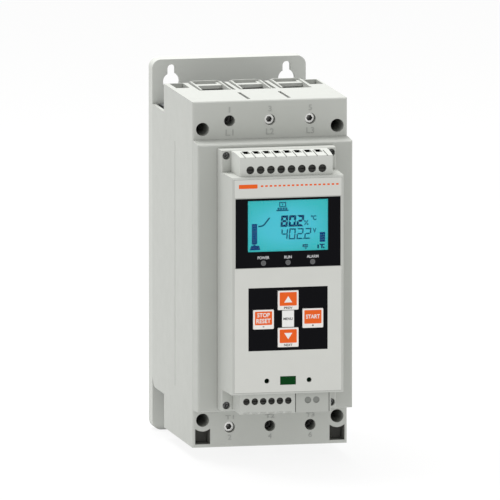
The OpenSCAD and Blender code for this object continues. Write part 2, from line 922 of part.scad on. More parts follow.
module case_posts() {
    for (x = [-1, 1], z = [-1, 1]) {
        rod(x * module_screw_x / 2, module_mid + z * module_screw_z / 2,
            [cover_front, slab_front - eps], post_dia);
        rod(x * (box_cavity - 3.6), module_mid + z * (box_h / 2 - 6),
            [panel_front, face_d - wall + 1], 6);
    }
}

module case_cuts() {
    run_depth([face_d - bezel_t, face_d + 1])
        plain_rect(field_w + 2 * slip, field_h + 2 * slip, field_mid);
    run_depth([face_d - wall - 1, face_d + 1])
        plain_rect(glass_w + 2.4, glass_h + 1, glass_mid);
    for (i = [-1 : 1])
        rod(i * light_pitch, light_z, [face_d - wall - 1, face_d + 1], light_dia + 0.3);
    run_depth([face_d - film_t, face_d + 1])
        film_outline(slip / 2);
    run_depth([face_d - pad_t, face_d + 1])
        plain_rect(pad_w + slip, pad_h + slip, pad_mid);
    run_depth([face_d - wall - 1, face_d + 1])
        plain_rect(pad_w - 2.6, pad_h - 1.6, pad_mid);
    run_depth([face_d - wall - 1, face_d + 1])
        plain_rect(port_w + slip, port_h + slip, port_mid);
    for (x = [-1, 1]) {
        rod(x * locate_x, port_mid, [face_d - wall - 1, face_d + 1], locate_dia);
        for (z = [-1, 1]) {
            rod(x * module_screw_x / 2, module_mid + z * module_screw_z / 2,
                [cover_front - 1, slab_front + 1], module_screw + screw_gap);
            rod(x * module_screw_x / 2, module_mid + z * module_screw_z / 2,
                [head_seat, slab_front + 1], head_dia + 0.6);
        }
    }
}

// Places of the two films on the module face, grown by a margin
module film_outline(grow) {
    upper_low = field_mid + field_h / 2 + 0.8;
    upper_top = box_top - edge_r;
    lower_low = box_low + edge_r;
    lower_top = field_mid - field_h / 2 - 0.4;
    plain_rect(film_w + 2 * grow, upper_top - upper_low + 2 * grow, (upper_top + upper_low) / 2);
    plain_rect(film_w + 2 * grow, lower_top - lower_low + 2 * grow, (lower_top + lower_low) / 2);
}

module module_case() {
    color([0.83, 0.84, 0.82])
        difference() {
            union() {
                case_shell();
                case_posts();
            }
            case_cuts();
        }
}

module module_back() {
    back_w = module_w - 2 * wall - 2 * slip;
    back_h = slab_h - 2 * wall - 2 * slip;
    color([0.25, 0.26, 0.27])
        difference() {
            union() {
                run_depth([cover_front, cover_front + 2])
                    plain_rect(back_w, back_h, module_mid);
                for (x = [-1, 1], z = [-1, 1])
                    rod(x * 32, module_mid + z * 68, [cover_front + 1, control_d], 5);
            }
            for (x = [-1, 1], z = [-1, 1])
                rod(x * module_screw_x / 2, module_mid + z * module_screw_z / 2,
                    [cover_front - 1, cover_front + 3], post_dia + 2 * slip);
            span_box([-link_w / 2 - 1, link_w / 2 + 1], [cover_front - 1, cover_front + 3],
                [module_mid - link_h / 2 - 1, module_mid + link_h / 2 + 1]);
        }
}

module module_screws() {
    color([0.66, 0.67, 0.68])
        for (x = [-1, 1], z = [-1, 1])
            translate([x * module_screw_x / 2, 0, module_mid + z * module_screw_z / 2])
                difference() {
                    union() {
                        rod(0, 0, [head_seat, head_seat + 2.2], head_dia);
                        rod(0, 0, [cover_front - boss_l + 2, head_seat + 1], module_screw);
                    }
                    span_box([-0.5, 0.5], [head_seat + 1, head_seat + 3], [-1.7, 1.7]);
                    span_box([-1.7, 1.7], [head_seat + 1, head_seat + 3], [-0.5, 0.5]);
                }
}

module upper_block() {
    block_top = slab_top - 0.2;
    pocket_top = box_top + 2 * up_screw_rise - 1;
    rear_half = block_w / 2 + block_taper;
    bend = clamp_back + clamp_wall + clamp_open / 2;
    color([0.82, 0.83, 0.81])
        difference() {
            intersection() {
                run_width([-half_w, half_w])
                    polygon([[-slab_front, box_top], [-slab_front, block_top], [-bend, block_top],
                        [-block_front, block_top - block_slope], [-block_front, box_top]]);
                run_height([box_top, block_top])
                    polygon([[-rear_half, -slab_front], [rear_half, -slab_front],
                        [block_w / 2, -block_front], [-block_w / 2, -block_front]]);
            }
            for (i = [0 : 7])
                translate([up_x(i), 0, 0]) {
                    rod(0, box_top + up_screw_rise, [clamp_front - 1, block_front + 1], up_well);
                    span_box([-3.1, 3.1], [clamp_back - slip, clamp_front + slip],
                        [box_top + 0.8 - slip, pocket_top + slip]);
                    span_box([-2.35, 2.35],
                        [clamp_back + clamp_wall, clamp_back + clamp_wall + clamp_open],
                        [pocket_top - 1, block_top + 1]);
                }
            for (i = [-4 : 4])
                span_box([i * up_pitch - 0.35, i * up_pitch + 0.35],
                    [clamp_back + clamp_wall + 4, block_front + 1],
                    [block_top - block_slope - 0.8, block_top + 1]);
        }
}

module lower_block() {
    pocket_low = box_low - 2 * low_screw_drop + 1.6;
    color([0.82, 0.83, 0.81])
        difference() {
            span_box([low_left, low_right], [slab_front, block_front], [low_block_low, box_low]);
            for (i = [0 : low_ways - 1])
                translate([low_x(i), 0, 0]) {
                    rod(0, box_low - low_screw_drop, [clamp_front - 1, block_front + 1],
                        low_well);
                    span_box([-2.75 - slip / 2, 2.75 + slip / 2],
                        [clamp_back - slip, clamp_front + slip],
                        [pocket_low - slip, box_low - 0.8 + slip]);
                    span_box([-2.1, 2.1],
                        [clamp_back + clamp_wall, clamp_back + clamp_wall + clamp_open],
                        [low_block_low - 1, pocket_low + 1]);
                    translate([0, -block_front, low_block_low - 1])
                        cylinder(h = 2.4, d = low_pitch - 1.6);
                }
        }
}

module slot_cover() {
    left = low_right + slip;
    right = block_w / 2 - 1.2;
    front = block_front - 0.3;
    low = low_block_low + 0.2;
    color([0.82, 0.83, 0.81])
        difference() {
            span_box([left, right], [slab_front, front], [low, box_low]);
            span_box([left + 1.6, right - 1.6], [slab_front - 1, front - 2.8],
                [low + 1.6, box_low - 1.6]);
            for (x = [left - 0.1, right - 1.6])
                span_box([x, x + 0.5], [front - 0.8, front + 1], [low - 1, box_low + 1]);
            for (i = [0 : 1])
                rod(left + 9.4 + i * low_pitch, box_low - low_screw_drop, [front - 0.7, front + 1],
                    low_well - 0.2);
        }
}

// Slotted clamp screw of a control terminal
module clamp_screw(dia, shank) {
    difference() {
        union() {
            rod(0, 0, [clamp_front + 0.3, block_front - 1.6], dia);
            rod(0, 0, [clamp_back + clamp_wall + clamp_open + 0.2, clamp_front + 1], shank);
        }
        span_box([-dia, dia], [block_front - 2.6, block_front], [-0.4, 0.4]);
    }
}

module upper_block_screws() {
    color([0.28, 0.28, 0.29])
        for (i = [0 : 7])
            translate([up_x(i), 0, box_top + up_screw_rise])
                clamp_screw(up_well - 0.4, 3);
}

module lower_block_screws() {
    color([0.28, 0.28, 0.29])
        for (i = [0 : low_ways - 1])
            translate([low_x(i), 0, box_low - low_screw_drop])
                clamp_screw(low_well - 0.4, 2.6);
}

// Wire clamp frame with a way through for the wire and a hole for its screw
module wire_clamp(half, open_half, low, top, screw_z, shank) {
    difference() {
        span_box([-half, half], [clamp_back, clamp_front], [low, top]);
        span_box([-open_half, open_half],
            [clamp_back + clamp_wall, clamp_back + clamp_wall + clamp_open], [low - 1, top + 1]);
        rod(0, screw_z, [clamp_front - 4, clamp_front + 1], shank + screw_gap);
    }
}

module wire_clamps() {
    color([0.72, 0.73, 0.70]) {
        for (i = [0 : 7])
            translate([up_x(i), 0, 0])
                wire_clamp(2.9, 2.35, box_top + 0.8, box_top + 2 * up_screw_rise - 1,
                    box_top + up_screw_rise, 3);
        for (i = [0 : low_ways - 1])
            translate([low_x(i), 0, 0])
                wire_clamp(2.75, 2.1, box_low - 2 * low_screw_drop + 1.6, box_low - 0.8,
                    box_low - low_screw_drop, 2.6);
    }
}

module control_board() {
    color([0.10, 0.33, 0.20])
        run_depth([control_d, control_d + board_t])
            plain_rect(2 * box_cavity - 2, box_h - 2 * wall - 2, module_mid);
}

module display_board() {
    color([0.10, 0.33, 0.20])
        run_depth([panel_d, panel_front])
            plain_rect(2 * box_cavity - 1, box_h - 2 * wall - 1, module_mid);
}

module board_header() {
    color([0.12, 0.12, 0.13])
        span_box([-header_w / 2, header_w / 2], [control_d + board_t, panel_d],
            [module_mid - header_drop - header_h / 2, module_mid - header_drop + header_h / 2]);
}

module lcd() {
    color([0.30, 0.66, 0.86])
        run_depth([panel_front, face_d - bezel_t - slip])
            plain_rect(glass_w + 1.8, glass_h + 0.6, glass_mid);
}

module display_bezel() {
    color([0.04, 0.04, 0.05])
        run_depth([face_d - bezel_t, face_d])
            difference() {
                plain_rect(field_w, field_h, field_mid);
                plain_rect(glass_w, glass_h, glass_mid);
                for (i = [-1 : 1])
                    translate([i * light_pitch, light_z])
                        circle(d = light_dia + 0.1);
            }
}

module display_window() {
    color([0.85, 0.90, 0.92, 0.4])
        run_depth([face_d - bezel_t, face_d - 0.1])
            plain_rect(glass_w - slip, glass_h - slip, glass_mid);
}

module light_pipes() {
    color([0.60, 0.80, 0.62])
        for (i = [-1 : 1])
            rod(i * light_pitch, light_z, [panel_front + slip, face_d + 0.2], light_dia);
}

module upper_film() {
    color([0.84, 0.85, 0.83])
        run_depth([face_d - film_t, face_d])
            intersection() {
                film_outline(0);
                plain_rect(2 * film_w, box_h, field_mid + field_h / 2 + box_h / 2);
            }
}

module lower_film() {
    color([0.84, 0.85, 0.83])
        run_depth([face_d - film_t, face_d])
            difference() {
                intersection() {
                    film_outline(0);
                    plain_rect(2 * film_w, box_h, field_mid - field_h / 2 - box_h / 2);
                }
                plain_rect(pad_w + slip, pad_h + slip, pad_mid);
                plain_rect(port_w + slip, port_h + slip, port_mid);
                for (x = [-1, 1])
                    translate([x * locate_x, port_mid])
                        circle(d = locate_dia);
            }
}

module keypad_panel() {
    color([0.05, 0.05, 0.05])
        run_depth([face_d - pad_t, face_d])
            difference() {
                plain_rect(pad_w, pad_h, pad_mid);
                for (name = ["stop", "start", "up", "down"])
                    translate([key_at(name)[0], key_at(name)[1]])
                        plain_rect(key_w + 2 * key_gap, key_h + 2 * key_gap, pad_mid);
            }
}

// One key: cap, flange behind the panel, stem into its switch
module key(name) {
    flange_front = face_d - pad_t - 0.1;
    color([0.90, 0.42, 0.14])
        translate([key_at(name)[0], 0, key_at(name)[1]]) {
            run_depth([flange_front - eps, face_d + key_proud])
                round_rect(key_w, key_h, pad_mid, 0.8);
            run_depth([flange_front - flange_t, flange_front])
                plain_rect(key_w + 2 * flange_lip, key_h + 2 * flange_lip, pad_mid);
            rod(0, pad_mid, [panel_front + 1 + key_travel + 0.2, flange_front - eps], stem_dia);
        }
}

module switches() {
    color([0.13, 0.13, 0.14])
        for (name = ["stop", "start", "up", "down"])
            translate([key_at(name)[0], 0, key_at(name)[1] + pad_mid])
                difference() {
                    span_box([-3.1, 3.1], [panel_front, panel_front + switch_h], [-3.1, 3.1]);
                    rod(0, 0, [panel_front + 1, panel_front + switch_h + 1], switch_bore);
                }
}

module optical_window() {
    color([0.12, 0.62, 0.32])
        run_depth([face_d - wall, face_d - 0.1])
            plain_rect(port_w, port_h, port_mid);
}

back_plate();
heatsink();
plate_screws();
housing();
housing_screws();
front_cover();
line_carrier();
load_carrier();
line_lug(1);  // line_lug_1
line_lug(2);  // line_lug_2
line_lug(3);  // line_lug_3
load_lug(1);  // load_lug_1
load_lug(2);  // load_lug_2
load_lug(3);  // load_lug_3
line_busbar(1);  // line_busbar_1
line_busbar(2);  // line_busbar_2
line_busbar(3);  // line_busbar_3
load_busbar(1);  // load_busbar_1
load_busbar(2);  // load_busbar_2
load_busbar(3);  // load_busbar_3
busbar_bolts();
lug_screws();
thyristor(1);  // thyristor_1
thyristor(2);  // thyristor_2
thyristor(3);  // thyristor_3
bypass_relay(1);  // bypass_relay_1
bypass_relay(2);  // bypass_relay_2
bypass_relay(3);  // bypass_relay_3
current_sensor(1);  // current_sensor_1
current_sensor(2);  // current_sensor_2
current_sensor(3);  // current_sensor_3
power_board();
gate_transformers();
link_connector();
module_case();
module_back();
module_screws();
upper_block();
lower_block();
slot_cover();
upper_block_screws();
lower_block_screws();
wire_clamps();
control_board();
display_board();
board_header();
lcd();
display_bezel();
display_window();
light_pipes();
upper_film();
lower_film();
keypad_panel();
key("stop");  // key_stop
key("start");  // key_start
key("up");  // key_up
key("down");  // key_down
switches();
optical_window();
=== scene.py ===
"""Looks of a panel-mounted soft starter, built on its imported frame."""

import json
import math

import bmesh
import bpy
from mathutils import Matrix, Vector


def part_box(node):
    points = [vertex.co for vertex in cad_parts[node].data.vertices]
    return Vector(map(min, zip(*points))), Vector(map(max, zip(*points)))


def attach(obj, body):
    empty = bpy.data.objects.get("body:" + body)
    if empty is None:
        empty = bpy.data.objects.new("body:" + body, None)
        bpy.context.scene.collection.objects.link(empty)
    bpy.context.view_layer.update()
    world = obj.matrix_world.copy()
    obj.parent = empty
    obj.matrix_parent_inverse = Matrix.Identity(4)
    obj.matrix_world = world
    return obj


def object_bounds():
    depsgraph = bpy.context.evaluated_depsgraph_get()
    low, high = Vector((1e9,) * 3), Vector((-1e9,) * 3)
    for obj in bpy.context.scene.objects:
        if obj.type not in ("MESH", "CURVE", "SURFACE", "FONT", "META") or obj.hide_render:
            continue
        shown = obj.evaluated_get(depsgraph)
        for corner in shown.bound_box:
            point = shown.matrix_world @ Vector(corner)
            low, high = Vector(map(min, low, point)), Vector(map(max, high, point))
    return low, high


MM = 0.001
STARTER = "starter"

# Thickness of printed layers and height of moulded marks, in millimetres.
INK = 0.03
MARK = 0.2

# Reach of the painted shade in wells and slots, in millimetres.
WELL_REACH = 12.0

# Camera of the photograph: a far one with a long lens.
VIEW_WIDTH = 364.2
VIEW_TARGET = (-5.96, -112.8, 9.12)
VIEW_AZIMUTH = -12.2
VIEW_ELEVATION = 8.4
LENS = 1500.0
SENSOR = 36.0

# Studio: world light, the floor with its share of plain white and its glow, and one soft lamp from above.
WORLD_LIGHT = 0.78
FLOOR_GAP = 0.2
FLOOR_HALF = 30.0
FLOOR_TONE = 0.95
FLOOR_WHITE = 0.85
FLOOR_GLOW = 0.6
LAMP_PLACE = (-0.2, 0.5, 1.5)
LAMP_TARGET = (0, -0.1, 0.1)
LAMP_SIZE = (1.2, 0.8)
LAMP_POWER = 24.0

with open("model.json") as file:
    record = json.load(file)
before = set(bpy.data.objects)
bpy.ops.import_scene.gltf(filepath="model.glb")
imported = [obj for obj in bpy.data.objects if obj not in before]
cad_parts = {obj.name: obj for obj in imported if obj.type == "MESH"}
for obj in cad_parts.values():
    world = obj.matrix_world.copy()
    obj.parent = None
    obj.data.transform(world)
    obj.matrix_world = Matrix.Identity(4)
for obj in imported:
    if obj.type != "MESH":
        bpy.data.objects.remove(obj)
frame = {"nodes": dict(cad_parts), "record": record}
cad_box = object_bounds()
nodes = frame["nodes"]


def screen(red, green, blue):
    """Linear colour from the eight-bit values that it shows on screen."""

    def linear(value):
        value /= 255.0
        if value <= 0.04045:
            return value / 12.92
        return ((value + 0.055) / 1.055) ** 2.4

    return (linear(red), linear(green), linear(blue), 1.0)


def shade(colour, factor):
    return tuple(min(1.0, c * factor) for c in colour[:3]) + (1.0,)


class Look:
    """A material with a principled shader and a few ways to add detail to it."""

    def __init__(self, name, colour, roughness, **values):
        self.material = bpy.data.materials.new(name)
        self.material.use_nodes = True
        self.tree = self.material.node_tree
        self.shader = self.tree.nodes["Principled BSDF"]
        self.colour = colour
        self.set("Base Color", colour)
        self.set("Roughness", roughness)
        for socket, value in values.items():
            self.set(socket.replace("_", " "), value)
        self.material.diffuse_color = colour
        self.coords = None

    def set(self, socket, value):
        self.shader.inputs[socket].default_value = value

    def node(self, kind):
        return self.tree.nodes.new(kind)

    def link(self, source, target):
        self.tree.links.new(source, target)

    def place(self, stretch):
        if self.coords is None:
            self.coords = self.node("ShaderNodeTexCoord")
        mapping = self.node("ShaderNodeMapping")
        mapping.inputs["Scale"].default_value = stretch
        self.link(self.coords.outputs["Object"], mapping.inputs["Vector"])
        return mapping.outputs["Vector"]

    def noise(self, grain, stretch=(1, 1, 1), detail=2.0):
        """Noise whose grains are about that many millimetres across."""
        noise = self.node("ShaderNodeTexNoise")
        noise.inputs["Scale"].default_value = 1.0 / (grain * MM)
        noise.inputs["Detail"].default_value = detail
        self.link(self.place(stretch), noise.inputs["Vector"])
        return noise.outputs["Fac"]

    def ramp(self, factor, *stops):
        ramp = self.node("ShaderNodeValToRGB")
        elements = ramp.color_ramp.elements
        while len(elements) < len(stops):
            elements.new(0.5)
        for element, (position, colour) in zip(elements, stops):
            element.position = position
            element.color = colour
        self.link(factor, ramp.inputs["Fac"])
        return ramp.outputs["Color"]

    def mottle(self, grain, amount, stretch=(1, 1, 1)):
        """Slight drift of the colour over the surface."""
        dark, light = shade(self.colour, 1 - amount), shade(self.colour, 1 + amount)
        drift = self.ramp(self.noise(grain, stretch, 3.0), (0.3, dark), (0.7, light))
        self.link(drift, self.shader.inputs["Base Color"])
        return drift

    def paint_cavity_shade(self, colour, darkest, reach=WELL_REACH, shut=0.08, clear=0.42):
        """Painted shade: darkens a colour where less than a share of the space within the reach is open."""
        open_share = self.node("ShaderNodeAmbientOcclusion")
        open_share.samples = 8
        open_share.inputs["Distance"].default_value = reach * MM
        share = open_share.outputs["AO"]
        deep = self.ramp(share, (shut, (darkest, darkest, darkest, 1.0)), (clear, (1.0, 1.0, 1.0, 1.0)))
        mix = self.node("ShaderNodeMix")
        mix.data_type = "RGBA"
        mix.blend_type = "MULTIPLY"
        mix.inputs["Factor"].default_value = 1.0
        self.link(colour, mix.inputs["A"])
        self.link(deep, mix.inputs["B"])
        self.link(mix.outputs["Result"], self.shader.inputs["Base Color"])
        return mix.outputs["Result"]

    def rough(self, grain, low, high, stretch=(1, 1, 1)):
        spread = self.node("ShaderNodeMapRange")
        spread.inputs["From Min"].default_value = 0.3
        spread.inputs["From Max"].default_value = 0.7
        spread.inputs["To Min"].default_value = low
        spread.inputs["To Max"].default_value = high
        self.link(self.noise(grain, stretch), spread.inputs["Value"])
        self.link(spread.outputs["Result"], self.shader.inputs["Roughness"])

    def bump(self, grain, height, strength=0.4, stretch=(1, 1, 1)):
        bump = self.node("ShaderNodeBump")
        bump.inputs["Strength"].default_value = strength
        bump.inputs["Distance"].default_value = height * MM
        self.link(self.noise(grain, stretch), bump.inputs["Height"])
        self.link(bump.outputs["Normal"], self.shader.inputs["Normal"])


def moulded(name, colour, roughness, grain=0.5, height=0.03, corner_shade=0.75, deep=0.4, reach=1.5):
    """Plastic with painted shade: darker in wells and slots, and a little along seams and inner corners."""
    look = Look(name, colour, roughness, Specular_IOR_Level=0.3)
    plain = look.mottle(18.0, 0.012)
    look.paint_cavity_shade(look.paint_cavity_shade(plain, corner_shade, reach, 0.3, 0.8), deep)
    look.rough(6.0, roughness - 0.05, roughness + 0.05)
    look.bump(grain, height)
    return look.material


def metal(name, colour, roughness, stretch=(1, 1, 1), grain=1.2, deep=0.3, shut=0.08):
    look = Look(name, colour, roughness, Metallic=1.0)
    # Painted shade: the colour darkens where the metal sits deep in wells and slots.
    look.paint_cavity_shade(look.mottle(3.0, 0.05, stretch), deep, shut=shut)
    look.rough(grain, roughness - 0.08, roughness + 0.08, stretch)
    look.bump(grain, 0.01, 0.25, stretch)
    return look.material


def ink(name, colour, roughness=0.5, shine=0.15):
    look = Look(name, colour, roughness, Specular_IOR_Level=shine)
    look.mottle(2.5, 0.02)
    look.rough(1.0, roughness - 0.06, roughness + 0.06)
    look.bump(0.3, 0.004, 0.2)
    return look.material


def gloss(name, colour, roughness, **values):
    look = Look(name, colour, roughness, **values)
    look.mottle(4.0, 0.04)
    look.rough(3.0, roughness - 0.04, roughness + 0.06)
    look.bump(0.6, 0.006, 0.2)
    return look.material


def circuit_board(name):
    base = screen(30, 92, 58)
    look = Look(name, base, 0.35)
    tracks = look.node("ShaderNodeTexBrick")
    tracks.inputs["Scale"].default_value = 110.0
    tracks.inputs["Color1"].default_value = base
    tracks.inputs["Color2"].default_value = screen(36, 104, 66)
    tracks.inputs["Mortar"].default_value = screen(46, 122, 80)
    tracks.inputs["Mortar Size"].default_value = 0.03
    turned = look.place((1, 1, 1))
    turned.node.inputs["Rotation"].default_value = (math.radians(90), 0, 0)
    look.link(turned, tracks.inputs["Vector"])
    look.link(tracks.outputs["Color"], look.shader.inputs["Base Color"])
    look.bump(0.4, 0.01, 0.3)
    return look.material


def liquid_crystal(name):
    """Backlit display, a little greener towards its edges."""
    middle, edge = screen(66, 176, 192), screen(44, 168, 168)
    low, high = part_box("lcd")
    size = high - low
    centre = (high + low) / 2
    look = Look(name, middle, 0.4, Specular_IOR_Level=0.0)
    stretch = Vector((1.1 / size.x, 0.0, 1.2 / size.z))
    spread = look.place(stretch)
    spread.node.inputs["Location"].default_value = (-centre.x * stretch.x, 0, -centre.z * stretch.z)
    glow = look.node("ShaderNodeTexGradient")
    glow.gradient_type = "QUADRATIC_SPHERE"
    look.link(spread, glow.inputs["Vector"])
    tint = look.ramp(glow.outputs["Fac"], (0.0, edge), (0.45, middle))
    look.link(tint, look.shader.inputs["Base Color"])
    look.link(tint, look.shader.inputs["Emission Color"])
    look.set("Emission Strength", 0.45)
    look.bump(0.25, 0.002, 0.1)
    return look.material


def clear_pane(name):
    look = Look(
        name,
        (1.0, 1.0, 1.0, 1.0),
        0.06,
        Transmission_Weight=1.0,
        IOR=1.2,
        Specular_IOR_Level=0.3,
    )
    look.rough(2.0, 0.02, 0.06)
    return look.material


LOOKS = {
    "shell_grey": moulded("moulded_grey", screen(190, 192, 187), 0.55, deep=0.7),
    "film_grey": moulded("satin_film", screen(212, 213, 208), 0.45, 0.3, 0.008),
    "sink_metal": metal("extruded_aluminium", screen(196, 198, 202), 0.35, (1, 1, 0.03)),
    "screw_steel": metal("zinc_steel", screen(190, 190, 187), 0.32),
    "dark_steel": metal("black_steel", screen(62, 62, 60), 0.45),
    "tinned": gloss("tin_plate", screen(188, 189, 188), 0.5, Metallic=0.4),
    "black_plastic": moulded("black_moulding", screen(36, 37, 39), 0.5),
    "sensor_blue": moulded("potted_blue", screen(44, 62, 112), 0.45),
    "board_green": circuit_board("solder_resist"),
    "lcd_blue": liquid_crystal("liquid_crystal"),
    "field_black": gloss("black_field", screen(9, 9, 13), 0.38, Specular_IOR_Level=0.06),
    "clear_window": clear_pane("clear_pane"),
    "light_pipe": gloss("milky_pipe", screen(78, 79, 80), 0.3, Coat_Weight=0.4),
    "key_orange": gloss("key_white", screen(240, 236, 232), 0.45),
    "port_green": gloss("green_window", screen(8, 62, 24), 0.3, Specular_IOR_Level=0.05),
}
# Painted shade: a darker copy of the shell grey for the front cover beside the module.
SHADED_COVER_GREY = moulded("cover_grey_shaded", screen(184, 186, 181), 0.55, corner_shade=0.35)
# Painted light and shade: a lighter copy of the block grey for the upper block, a darker one for the lower
# block.
LIT_UPPER_GREY = moulded("upper_block_grey_lit", screen(205, 207, 202), 0.5, deep=0.8)
SHADED_LOWER_GREY = moulded("lower_block_grey_shaded", screen(191, 193, 188), 0.5, deep=0.8)
# Painted light and shade: a lighter copy of the grey for the back plate, darkened in its keyholes.
LIT_PLATE_GREY = moulded("plate_grey_lit", screen(199, 201, 196), 0.6, corner_shade=0.4, reach=6.0)
# Painted shade: a darker copy of the grey for the recessed slot cover.
SHADED_SLOT_GREY = moulded("slot_grey_shaded", screen(182, 184, 179), 0.5, corner_shade=0.45, deep=0.9)
# Painted shade: light steel that darkens strongly in the wells of the module screws.
WELL_SHADED_STEEL = metal("steel_well_shaded", screen(214, 215, 214), 0.4, deep=0.06, shut=0.2)
# Painted light and shade: a lighter copy of the screw steel for the power screws, darkened deep in their
# wells.
LIT_STEEL = metal("steel_lit", screen(228, 228, 225), 0.3, deep=0.1, shut=0.19)
# Painted light: a light grey for the cable carriers, to lift the shade inside the cable windows.
LIT_CARRIER_GREY = moulded("carrier_grey_lit", screen(214, 216, 211), 0.5, corner_shade=0.95, deep=0.9)
NODE_LOOKS = {
    "back_plate": LIT_PLATE_GREY,
    "lug_screws": LIT_STEEL,
    "line_carrier": LIT_CARRIER_GREY,
    "load_carrier": LIT_CARRIER_GREY,
    "front_cover": SHADED_COVER_GREY,
    "slot_cover": SHADED_SLOT_GREY,
    "upper_block": LIT_UPPER_GREY,
    "lower_block": SHADED_LOWER_GREY,
    "module_screws": WELL_SHADED_STEEL,
}
# Painted shade: the moulded terminal marks are tinted darker than the housing.
MARK_SHADE_GREY = moulded("mark_grey_shade", screen(166, 168, 164), 0.5)
# Painted shade for the floors of the closed screw places.
BLANK_SHADE_GREY = moulded("blank_grey_shade", screen(136, 138, 134), 0.5)
WHITE_INK = ink("white_ink", screen(240, 240, 238))
PALE_INK = ink("pale_ink", screen(224, 225, 228))
GREY_INK = ink("grey_ink", screen(112, 113, 115))
# Painted shade for the pockets under the lower corner wells.
SHADE_INK = ink("shade_ink", screen(126, 126, 122), shine=0.0)
DARK_INK = ink("dark_ink", screen(40, 40, 42))
# Painted shade for the rear walls inside the wire openings.
MOUTH_SHADE_INK = ink("mouth_shade_ink", screen(8, 8, 8), shine=0.0)
ORANGE_INK = ink("orange_ink", screen(236, 98, 30), 0.42)
CRYSTAL_INK = ink("crystal_ink", screen(2, 56, 104), shine=0.0)
CRYSTAL_PALE = ink("crystal_pale", screen(6, 92, 126), shine=0.0)
CRYSTAL_BAR = ink("crystal_bar", screen(4, 66, 130), shine=0.0)

# Facets closer than this are joined, in metres, and flatter than this become one face, in degrees.
JOIN_GAP = 2e-6
FLAT_ANGLE = 0.6

# Edges sharper than the angle, in degrees, are broken. Width of the broken edges, in millimetres.
EDGE_ANGLE = 35
EDGE_WIDTH = 0.15
EDGES = {
    "housing": 0.4,
    "front_cover": 0.4,
    "module_case": 0.35,
    "back_plate": 1.8,
    "upper_block": 0.25,
    "lower_block": 0.25,
    "slot_cover": 0.2,
    "key_stop": 0.18,
    "key_start": 0.18,
    "key_up": 0.18,
    "key_down": 0.18,
    "lug_screws": 0.3,
    "upper_film": 0.05,
    "lower_film": 0.05,
    "display_window": 0.05,
    "display_bezel": 0.06,
    "keypad_panel": 0.06,
}


def facet_group():
    """Geometry nodes that join the facets of a solid and shade it smooth."""
    group = bpy.data.node_groups.new("join_facets", "GeometryNodeTree")
    for way in ("INPUT", "OUTPUT"):
        group.interface.new_socket("Geometry", in_out=way, socket_type="NodeSocketGeometry")
    start = group.nodes.new("NodeGroupInput")
    end = group.nodes.new("NodeGroupOutput")
    strip = group.nodes.new("GeometryNodeRemoveAttribute")
    strip.inputs["Name"].default_value = "custom_normal"
    join = group.nodes.new("GeometryNodeMergeByDistance")
    join.inputs["Distance"].default_value = JOIN_GAP
    smooth = group.nodes.new("GeometryNodeSetShadeSmooth")
    smooth.domain = "FACE"
    group.links.new(start.outputs[0], strip.inputs[0])
    group.links.new(strip.outputs[0], join.inputs["Geometry"])
    group.links.new(join.outputs[0], smooth.inputs[0])
    group.links.new(smooth.outputs[0], end.inputs[0])
    return group


def break_edges(obj, facets, width):
    joined = obj.modifiers.new("join_facets", "NODES")
    joined.node_group = facets
    flat = obj.modifiers.new("flat_faces", "DECIMATE")
    flat.decimate_type = "DISSOLVE"
    flat.angle_limit = math.radians(FLAT_ANGLE)
    broken = obj.modifiers.new("broken_edges", "BEVEL")
    broken.width = width * MM
    broken.segments = 2
    broken.limit_method = "ANGLE"
    broken.angle_limit = math.radians(EDGE_ANGLE)
    broken.use_clamp_overlap = True
    even = obj.modifiers.new("even_shading", "WEIGHTED_NORMAL")
    even.keep_sharp = True
    even.weight = 80


def dress_nodes():
    facets = facet_group()
    for part in frame["record"]["subparts"]:
        obj = nodes[part["node"]]
        obj.data.materials.clear()
        obj.data.materials.append(NODE_LOOKS.get(part["node"], LOOKS[part["material_slot"]]))
        break_edges(obj, facets, EDGES.get(part["node"], EDGE_WIDTH))


